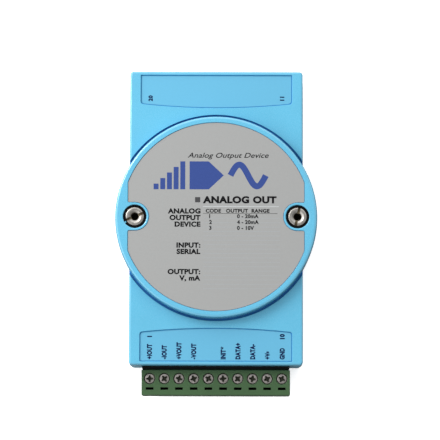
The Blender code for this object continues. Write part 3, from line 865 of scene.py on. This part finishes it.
def make_bush(side_name, side):
    """The black ring round one screw. The left one has a notch for the key in its counterbore."""
    top, base = BUSH_HIGH.z, BUSH_LOW.z
    bore, edge = BUSH_BORE_R, 0.1
    profile = [(BUSH_HOLE_R, base), (BUSH_R - edge, base), (BUSH_R, base + edge)]
    profile += [(BUSH_R - edge * out, top - edge + edge * rise) for out, rise in quarter(4)]
    profile += [(bore + edge * out, top - edge + edge * rise) for out, rise in reversed(quarter(4))]
    profile += [(bore, base + BUSH_FLOOR), (BUSH_HOLE_R, base + BUSH_FLOOR)]
    bush = lathe(f"bush_{side_name}", profile, 64)
    if side_name == "left":
        notch_y = (-KEY_NOTCH_HALF, KEY_NOTCH_HALF)
        notch = block("notch", (bore + 0.25, BUSH_R + 1), notch_y, (base - 1, top + 1))
        notch.rotation_euler.z = math.radians(KEY_ANGLE)
        bpy.context.view_layer.update()
        cut(bush, notch)
    shade(bush, 40)
    bush.location.x = side * SCREW_X * MM
    node = f"captive_bush_{side_name}"
    return place(bush, M_BUSH_AND_SLOT_SHADE, node, "black_plastic", node)


def make_insert(side_name, side):
    """A brass insert with a waist between its two grips and a thread down its bore."""
    low, high = INSERT_LOW.z, INSERT_HIGH.z
    outer, waist, mouth = INSERT_HIGH.y, INSERT_HIGH.y - 0.35, 1.75
    profile = [(mouth, low), (outer - 0.2, low), (outer, low + 0.2), (outer, low + 2.2)]
    profile += [(waist, low + 2.5), (waist, high - 2.5), (outer, high - 2.2)]
    profile += [(outer, high - 0.2), (outer - 0.2, high), (mouth, high)]
    profile += [(r, low + high - z) for r, z in thread(low + 0.2, high - 0.2, 1.55, 1.72)]
    insert = shade(lathe(f"insert_{side_name}", profile, 48), 28)
    insert.location.x = side * SCREW_X * MM
    node = f"threaded_insert_{side_name}"
    return place(insert, M_BRASS, "housing", "insert_brass", node)


# ---------------------------------------------------------------- terminal block


def refined(name, node, width, segments=2):
    """A copy of a CAD node's solid with its facets merged and its edges rounded."""
    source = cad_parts[node].data
    bm = bmesh.new()
    bm.from_mesh(source)
    bmesh.ops.remove_doubles(bm, verts=bm.verts, dist=1e-7)
    flat = math.radians(1.0)
    bmesh.ops.dissolve_limit(bm, angle_limit=flat, verts=bm.verts, edges=bm.edges)
    mesh = bpy.data.meshes.new(name)
    bm.to_mesh(mesh)
    bm.free()
    obj = link(name, mesh)
    bevel(obj, width, segments)
    return shade(obj)


def make_header():
    header = refined("header_shroud", "header_body", 0.12)
    return place(header, M_BLACK, "housing", "black_plastic", "header_body")


def make_plug():
    """The green plug: rounded block, screw wells, probe slots, wire funnels and contact nose."""
    body_x = (PLUG_LOW.x, PLUG_HIGH.x)
    body_z = (PLUG_LOW.z, PLUG_HIGH.z)
    plug = block("terminal_plug", body_x, (PLUG_LOW.y, PLUG_BACK), body_z)
    bevel(plug, 0.2, 3)
    nose_x = HEADER_HIGH.x - SHROUD_WALL
    nose_z = (HEADER_LOW.z + SHROUD_WALL, HEADER_HIGH.z - SHROUD_WALL)
    add(plug, block("nose", (-nose_x, nose_x), (PLUG_BACK - 1, PLUG_HIGH.y), nose_z))
    for cutter in (pocket_cutter, channel_cutter, funnel_cutter, probe_cutter, well_cutter):
        cut(plug, merged("cutters", [cutter(i) for i in range(POLES)]))
    cut(plug, merged("grooves", [groove_cutter(i) for i in range(1, POLES)]))
    shade(plug)
    dress(plug, M_GREEN)
    # painted shade: the probe slots and the wire entries under them are painted black
    paint(plug, M_BUSH_AND_SLOT_SHADE, in_probe_slot)
    return place(plug, None, "plug", "terminal_plastic", "plug_body")


def in_probe_slot(x, y, z):
    """Whether a point is in a probe slot, or in the wire entry right under one: painted black as
    shade.
    """
    beside = abs(y - PLUG_LOW.y - PROBE_PLACE) < PROBE_HALF[1] + 0.02
    return beside and ENTRY_Z - 0.35 < z < PLUG_HIGH.z - 0.1


def pocket_cutter(index):
    x, (half_x, half_y) = pole_x(index), POCKET_HALF
    y_range = (CLAMP_Y - half_y, CLAMP_Y + half_y)
    return block("pocket", (x - half_x, x + half_x), y_range, (CAGE_LOW.z - 0.3, POCKET_TOP))


def channel_cutter(index):
    x, half = pole_x(index), CHANNEL_HALF
    middle = (CONTACT_LOW.z + CONTACT_HIGH.z) / 2
    y_range = (CLAMP_Y, PLUG_HIGH.y + 1)
    return block("channel", (x - half, x + half), y_range, (middle - half, middle + half))


def funnel_cutter(index):
    """A wire entry in the front face, flared towards its mouth."""
    x, face = pole_x(index), PLUG_LOW.y
    middle, half = ENTRY_Z, ENTRY_HALF
    steps = ((face - 0.3, half + 0.2), (face, half + 0.15), (face + 0.5, half), (CLAMP_Y, half))
    rings = []
    for y, reach in steps:
        outline = round_corners(
            rectangle((x - reach, x + reach), (middle - reach, middle + reach)),
            lambda point: 0.5,
            steps=4,
        )
        rings.append([(px, y, pz) for px, pz in outline])
    return loft("funnel", rings)


def probe_cutter(index):
    """A narrow slot for a test probe, in front of each clamp screw."""
    x, y = pole_x(index), PLUG_LOW.y + PROBE_PLACE

    def outline(grow):
        half_x, half_y = PROBE_HALF[0] + grow, PROBE_HALF[1] + grow
        return rectangle((x - half_x, x + half_x), (y - half_y, y + half_y))

    return recess_cutter("probe", outline, PLUG_HIGH.z - PROBE_DEPTH, PLUG_HIGH.z, 0.1)


def well_cutter(index):
    """The round well over a clamp screw."""
    centre = (pole_x(index), CLAMP_Y)
    return hole_cutter("well", WELL_R, WELL_FLOOR, PLUG_HIGH.z, centre, 0.16, 48)


def groove_cutter(index):
    """A fine line between two poles, down the front face."""
    x = pole_x(index) - PITCH / 2
    face = PLUG_LOW.y
    outline = [(x - 0.14, face - 0.05), (x + 0.14, face - 0.05), (x, face + 0.12)]
    return loft("groove", [at_height(outline, z) for z in (PLUG_LOW.z - 1, PLUG_HIGH.z + 1)])


def cross_outline(arm, half):
    """A plus sign with arms that reach arm from its centre and are 2 * half wide."""
    part = [(half, half), (half * 0.6, arm), (-half * 0.6, arm)]
    outline = list(part)
    for _ in range(3):
        part = [(-y, x) for x, y in part]
        outline += part
    return outline


def clamp_screw_mesh():
    """A clamp screw on its own axis: threaded shank, domed head and a tapered cross recess."""
    top, tip = CLAMP_HIGH.z, CLAMP_LOW.z
    head_r = (CLAMP_HIGH.x - CLAMP_LOW.x) / 2
    profile = [(0, tip), (0.9, tip), (1.1, tip + 0.2)]
    under = top - 1.4
    profile += thread(tip + 0.25, under - 0.2, 1.05, 1.22)
    profile += [(1.2, under), (head_r - 0.1, under), (head_r, under + 0.1)]
    profile += [(head_r - 0.3 * out, top - 0.3 + 0.26 * rise) for out, rise in quarter(4)]
    profile += [(0.9, top), (0, top)]
    screw = lathe("clamp_screw_shape", profile, 48)
    sizes = ((0.6, 0.24, -1.1), (0.95, 0.34, -0.6), (1.2, 0.42, 0.0), (1.24, 0.44, 0.3))
    rings = [at_height(cross_outline(arm, half), top + rise) for arm, half, rise in sizes]
    cut(screw, loft("recess", rings))
    dimple = [(0, top - 1.2), (0.62, top - 0.5), (0.78, top + 0.3), (0, top + 0.3)]
    cut(screw, lathe("dimple", dimple, 32))
    shade(screw, 30)
    apply_modifiers(screw)
    dress(screw, M_ZINC)
    # painted shade: the cross recess is painted a dark greenish grey
    paint(screw, M_STAR_SHADE, lambda x, y, z: top - 1.3 < z < top - 0.03 and math.hypot(x, y) < 1.25)
    mesh = screw.data
    bpy.data.objects.remove(screw, do_unlink=True)
    return mesh


def make_clamp_screws():
    mesh = clamp_screw_mesh()
    for i in range(POLES):
        screw = link(pole_name("terminal_screw", i), mesh)
        screw.location = (pole_x(i) * MM, CLAMP_Y * MM, 0)
        screw.rotation_euler.z = math.radians(37.0 * i)
        node = pole_name("clamp_screw", i)
        place(screw, None, node, "clamp_steel", node)


def make_cages():
    """The clamp cages, which rise in the plug as their screws turn."""
    for i in range(POLES):
        node = pole_name("clamp_cage", i)
        cage = refined(pole_name("wire_cage", i), node, 0.12)
        place(cage, M_TIN, node, "clamp_steel", node)


def dress_inner_parts():
    """Materials for the CAD solids that stay as they are inside the housing and the plug."""
    finishes = {
        "main_circuit_board": M_BOARD,
        "dc_dc_converter": M_CHIP,
        "microcontroller": M_CHIP,
        "output_converter_chip": M_CHIP,
        "electrolytic_capacitor": M_SLEEVE,
    }
    for i in range(POLES):
        finishes[pole_name("header_pin", i)] = M_TIN
        finishes[pole_name("socket_contact", i)] = M_TIN
    for node, material in finishes.items():
        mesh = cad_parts[node].data
        mesh.materials.clear()
        mesh.materials.append(material)


# ---------------------------------------------------------------- print


def letters(text, height, width=None, weight=0.0, slant=0.0, stretch=1.0):
    """(vertices, faces) of a line of text, its capitals height tall, its left end at the origin."""
    curve = bpy.data.curves.new("letters", "FONT")
    curve.body = text
    curve.offset = weight
    curve.space_character = 1.0 + 1.5 * weight
    curve.shear = slant
    curve.resolution_u = 4
    carrier = link("letters", curve)
    graph = bpy.context.evaluated_depsgraph_get()
    mesh = bpy.data.meshes.new_from_object(carrier.evaluated_get(graph))
    points = [vertex.co.copy() for vertex in mesh.vertices]
    faces = [list(polygon.vertices) for polygon in mesh.polygons]
    bpy.data.objects.remove(carrier, do_unlink=True)
    bpy.data.curves.remove(curve)
    bpy.data.meshes.remove(mesh)
    tall = height / CAPITAL
    left = min(p.x for p in points)
    span = max(p.x for p in points) - left
    wide = width / span if width else tall * stretch
    return [((p.x - left) * wide, p.y * tall) for p in points], faces


class Print:
    """Flat ink shapes of one colour, gathered into one thin mesh just above a film."""

    def __init__(self, name, z):
        self.name = name
        self.z = z
        self.bm = bmesh.new()

    def shape(self, points, faces):
        made = [self.bm.verts.new((x, y, self.z)) for x, y in points]
        for face in faces:
            self.bm.faces.new([made[i] for i in face])

    def text(self, text, x, y, height, align="left", turn=0.0, **look):
        """A line of text whose baseline starts at x, y, or ends there if aligned right."""
        points, faces = letters(text, height, **look)
        shift = -max(p[0] for p in points) if align == "right" else 0.0
        cos, sin = math.cos(math.radians(turn)), math.sin(math.radians(turn))
        placed = []
        for px, py in points:
            px += shift
            placed.append((x + px * cos - py * sin, y + px * sin + py * cos))
        self.shape(placed, faces)

    def bar(self, x0, y0, x1, y1):
        self.shape(rectangle((x0, x1), (y0, y1)), [[0, 1, 2, 3]])

    def stroke(self, points, width):
        """A ribbon along a line, mitred at its corners."""
        line = [Vector(point) for point in points]
        left, right = [], []
        for i, here in enumerate(line):
            before = (here - line[i - 1]).normalized() if i else None
            after = (line[i + 1] - here).normalized() if i + 1 < len(line) else None
            before = before or after
            after = after or before
            mitre = (before + after).normalized()
            normal = Vector((-mitre.y, mitre.x))
            reach = width / 2 / max(0.3, normal.dot(Vector((-before.y, before.x))))
            left.append(tuple(here + normal * reach))
            right.append(tuple(here - normal * reach))
        count = len(line)
        faces = [[i, i + 1, count + i + 1, count + i] for i in range(count - 1)]
        self.shape(left + right, faces)

    def finish(self, material, slot):
        bmesh.ops.recalc_face_normals(self.bm, faces=self.bm.faces)
        for face in self.bm.faces:
            if face.normal.z < 0:
                face.normal_flip()
        extruded = bmesh.ops.extrude_face_region(self.bm, geom=list(self.bm.faces))
        raised = [e for e in extruded["geom"] if isinstance(e, bmesh.types.BMVert)]
        bmesh.ops.translate(self.bm, vec=(0, 0, INK_THICKNESS), verts=raised)
        obj = to_object(self.name, self.bm)
        return place(obj, material, "housing", slot)


def label_print():
    """The round label's print, all of it generic, in one layer for each ink."""
    inks = {"black": M_INK, "blue": M_MARK, "white": M_WHITE, "pale": M_PALE, "grey": M_GREY}
    layers = {name: Print(f"label_print_{name}", LABEL_HIGH.z + INK_LIFT) for name in inks}
    draw_pictogram(layers["blue"])
    draw_heading(layers["black"], layers["grey"], layers["white"])
    draw_captions(layers["black"])
    draw_table(layers["black"], layers["pale"])
    for name, layer in layers.items():
        layer.finish(inks[name], "front_label_film")


def draw_heading(black, grey, white):
    black.text("Analog Output Device", -9.9, 20.4, 1.7, width=28.0, slant=0.3, weight=0.01)
    grey.bar(-7.3, 4.9, -5.5, 6.7)
    black.text("ANALOG OUT", HEADING_X, 4.75, 2.15, width=25.4, weight=0.055)
    white.bar(HEADING_X, HEADING_RULE_Y, HEADING_RULE_X, HEADING_RULE_Y + 0.2)


def draw_captions(black):
    """The three blocks of words at the left of the table, set to one right-hand edge."""
    blocks = (
        (1.1, 2.28, ("ANALOG", "OUTPUT", "DEVICE")),
        (-10.7, 2.2, ("INPUT:", "SERIAL")),
        (-19.85, 2.2, ("OUTPUT:", "V, mA")),
    )
    look = {"align": "right", "weight": 0.05, "stretch": 1.1}
    for y, row_height, words in blocks:
        for row, word in enumerate(words):
            black.text(word, CAPTION_RIGHT, y - row_height * row, 1.6, **look)


def draw_table(black, pale):
    """A short table of ranges, and the faint rules under it."""
    black.text("CODE   OUTPUT  RANGE", -3.6, TABLE_TOP + 0.4, 1.2, width=22.0, weight=0.04)
    black.bar(TABLE_X[0], TABLE_TOP, TABLE_X[1], TABLE_TOP + 0.12)
    for row, span in enumerate(("0 - 20mA", "4 - 20mA", "0 - 10V")):
        y = TABLE_TOP - 1.5 - TABLE_ROW * row
        black.text(str(row + 1), -2.4, y, 1.25, weight=0.04)
        black.text(span, 7.2, y, 1.25, weight=0.04)
    for k in range(FAINT_RULES):
        y = TABLE_TOP - 1.7 - FAINT_ROW * k
        pale.bar(TABLE_X[0] + 0.1, y, TABLE_X[1] + 0.9, y + 0.2)


def draw_pictogram(ink_layer):
    """A converter symbol: rising bars for the code, a solid five-sided box, and a smooth wave."""
    low, high = PICTOGRAM_Y
    bars = 5
    for k in range(bars):
        x = -21.6 + 2.3 * k
        ink_layer.bar(x, low, x + 1.7, low + (high - low) * (k + 1) / bars)
    middle, swing = (low + high) / 2, (high - low) / 2
    left, shoulder, tip = -9.2, -2.6, 2.6
    box = [(left, low), (shoulder, low), (tip, middle), (shoulder, high), (left, high)]
    ink_layer.shape(box, [[0, 1, 2, 3, 4]])
    wave = [
        (4.9 + 12.2 * t / 64, middle + (swing - 1.1) * math.sin(2 * math.pi * t / 64))
        for t in range(65)
    ]
    ink_layer.stroke(wave, 2.1)


def marking_print():
    """Terminal numbers and names on the end panels, read from the side."""
    navy = Print("marking_print", PANEL_FILM_Z[1] + INK_LIFT)
    navy.text("20", pole_x(0) + 0.6, 40.6, 1.3, turn=90, weight=0.06)
    navy.text("11", pole_x(9) + 0.6, 40.9, 1.3, turn=90, weight=0.06)
    names = ("+IOUT", "-IOUT", "+VOUT", "-VOUT", "", "INIT", "DATA+", "DATA-", "+Vs", "GND")
    look = {"turn": 90, "weight": 0.065}
    for i, word in enumerate(names):
        if word:
            navy.text(word, pole_x(i) + 0.75, NAME_Y, 1.5, stretch=0.75, **look)
    navy.text("*", pole_x(5) + 0.75, -45.6, 1.6, turn=90, weight=0.02)
    navy.text("1", pole_x(0) + 0.75, -41.4, 1.45, stretch=0.9, **look)
    navy.text("10", pole_x(9) + 0.75, -42.0, 1.45, stretch=0.9, **look)
    navy.finish(M_NAVY, "marking_film")


# ---------------------------------------------------------------- stage


FLOOR_GLOW = 0.6
WORLD_DIM = 0.25
WORLD_BRIGHT = 2.2
BRIGHT_SIDE = (-0.54, 0.48, 0.69)
CEILING = 0.2
KEY_PLACE = (-0.235, 0.155, 0.25)
KEY_SIZE = 0.16
KEY_RADIANCE = 8.6
CAMERA_ELEVATION = 84.5
CAMERA_ROLL = 0.15
CAMERA_DISTANCE = 0.9
CAMERA_TARGET = (0.00133, -0.00094, 0.027)
CAMERA_LENS = 213.1


def make_floor():
    """A white sweep.

    The camera sees it with a faint glow of its own, so that shade stays pale. It throws back less
    light than it shows, so that the module's right-hand edges stay dark.
    """
    surface = Surface("floor_white", 0.9, specular=0.1)
    path = surface.node("ShaderNodeLightPath").outputs["Is Camera Ray"]
    surface.colour(surface.ramp(path, 0.0, 1.0, (0.28, 0.28, 0.28), (0.94, 0.94, 0.94)))
    surface.shader.inputs["Emission Color"].default_value = (1, 1, 1, 1)
    surface.join(surface.range(path, 0.0, FLOOR_GLOW), surface.shader.inputs["Emission Strength"])
    half = 3000.0
    floor = block("floor", (-half, half), (-half, half), (-20.0, LOWER_LOW.z - 0.05))
    floor.data.materials.append(surface.material)


def make_world():
    """A pale studio, brightest at the upper left, with a darker ceiling behind the camera."""
    world = bpy.data.worlds.new("studio")
    bpy.context.scene.world = world
    world.use_nodes = True
    tree = world.node_tree
    background = tree.nodes["Background"]
    background.inputs["Color"].default_value = (1, 1, 1, 1)
    direction = tree.nodes.new("ShaderNodeTexCoord").outputs["Generated"]
    side = lobe(tree, direction, BRIGHT_SIDE, (-0.4, 1.0), (WORLD_DIM, WORLD_BRIGHT))
    ceiling = lobe(tree, direction, (0, 0, 1), (0.78, 0.96), (1.0, CEILING))
    product = tree.nodes.new("ShaderNodeMath")
    product.operation = "MULTIPLY"
    tree.links.new(side, product.inputs[0])
    tree.links.new(ceiling, product.inputs[1])
    tree.links.new(product.outputs["Value"], background.inputs["Strength"])


def lobe(tree, direction, axis, span, values):
    """A value that goes from values[0] to values[1] as the direction turns towards an axis."""
    dot = tree.nodes.new("ShaderNodeVectorMath")
    dot.operation = "DOT_PRODUCT"
    dot.inputs[1].default_value = Vector(axis).normalized()
    tree.links.new(direction, dot.inputs[0])
    spread = tree.nodes.new("ShaderNodeMapRange")
    spread.interpolation_type = "SMOOTHSTEP"
    spread.inputs["From Min"].default_value = span[0]
    spread.inputs["From Max"].default_value = span[1]
    spread.inputs["To Min"].default_value = values[0]
    spread.inputs["To Max"].default_value = values[1]
    tree.links.new(dot.outputs["Value"], spread.inputs["Value"])
    return spread.outputs["Result"]


def make_light(name, place_m, size, radiance):
    data = bpy.data.lights.new(name, "AREA")
    data.size = size
    data.energy = radiance * math.pi * size**2
    light = bpy.data.objects.new(name, data)
    light.location = place_m
    light.rotation_euler = (-Vector(place_m)).to_track_quat("-Z", "Y").to_euler()
    light.visible_camera = False
    bpy.context.scene.collection.objects.link(light)


def make_camera():
    """Looks almost straight down at the front face, from slightly below its middle."""
    elevation = math.radians(CAMERA_ELEVATION)
    back = Vector((0, -math.cos(elevation), math.sin(elevation)))
    data = bpy.data.cameras.new("camera")
    data.lens = CAMERA_LENS
    data.sensor_width = 36.0
    data.clip_start = 0.01
    data.clip_end = 10.0
    camera = bpy.data.objects.new("camera", data)
    camera.location = Vector(CAMERA_TARGET) + back * CAMERA_DISTANCE
    camera.rotation_mode = "QUATERNION"
    roll = Quaternion((0, 0, 1), math.radians(CAMERA_ROLL))
    camera.rotation_quaternion = (-back).to_track_quat("-Z", "Y") @ roll
    bpy.context.scene.collection.objects.link(camera)
    bpy.context.scene.camera = camera


def make_stage():
    make_floor()
    make_world()
    make_light("key_light", KEY_PLACE, KEY_SIZE, KEY_RADIANCE)
    make_camera()
    bpy.context.scene.view_settings.view_transform = "Standard"


# ---------------------------------------------------------------- assembly


def build():
    make_front_cover()
    make_rear_cover()
    make_labels()
    make_end_blank()
    for side_name, side in SIDES:
        make_stacking_screw(side_name, side)
        make_bush(side_name, side)
        make_insert(side_name, side)
    make_header()
    make_plug()
    make_clamp_screws()
    make_cages()
    dress_inner_parts()
    label_print()
    marking_print()
    make_stage()


build()
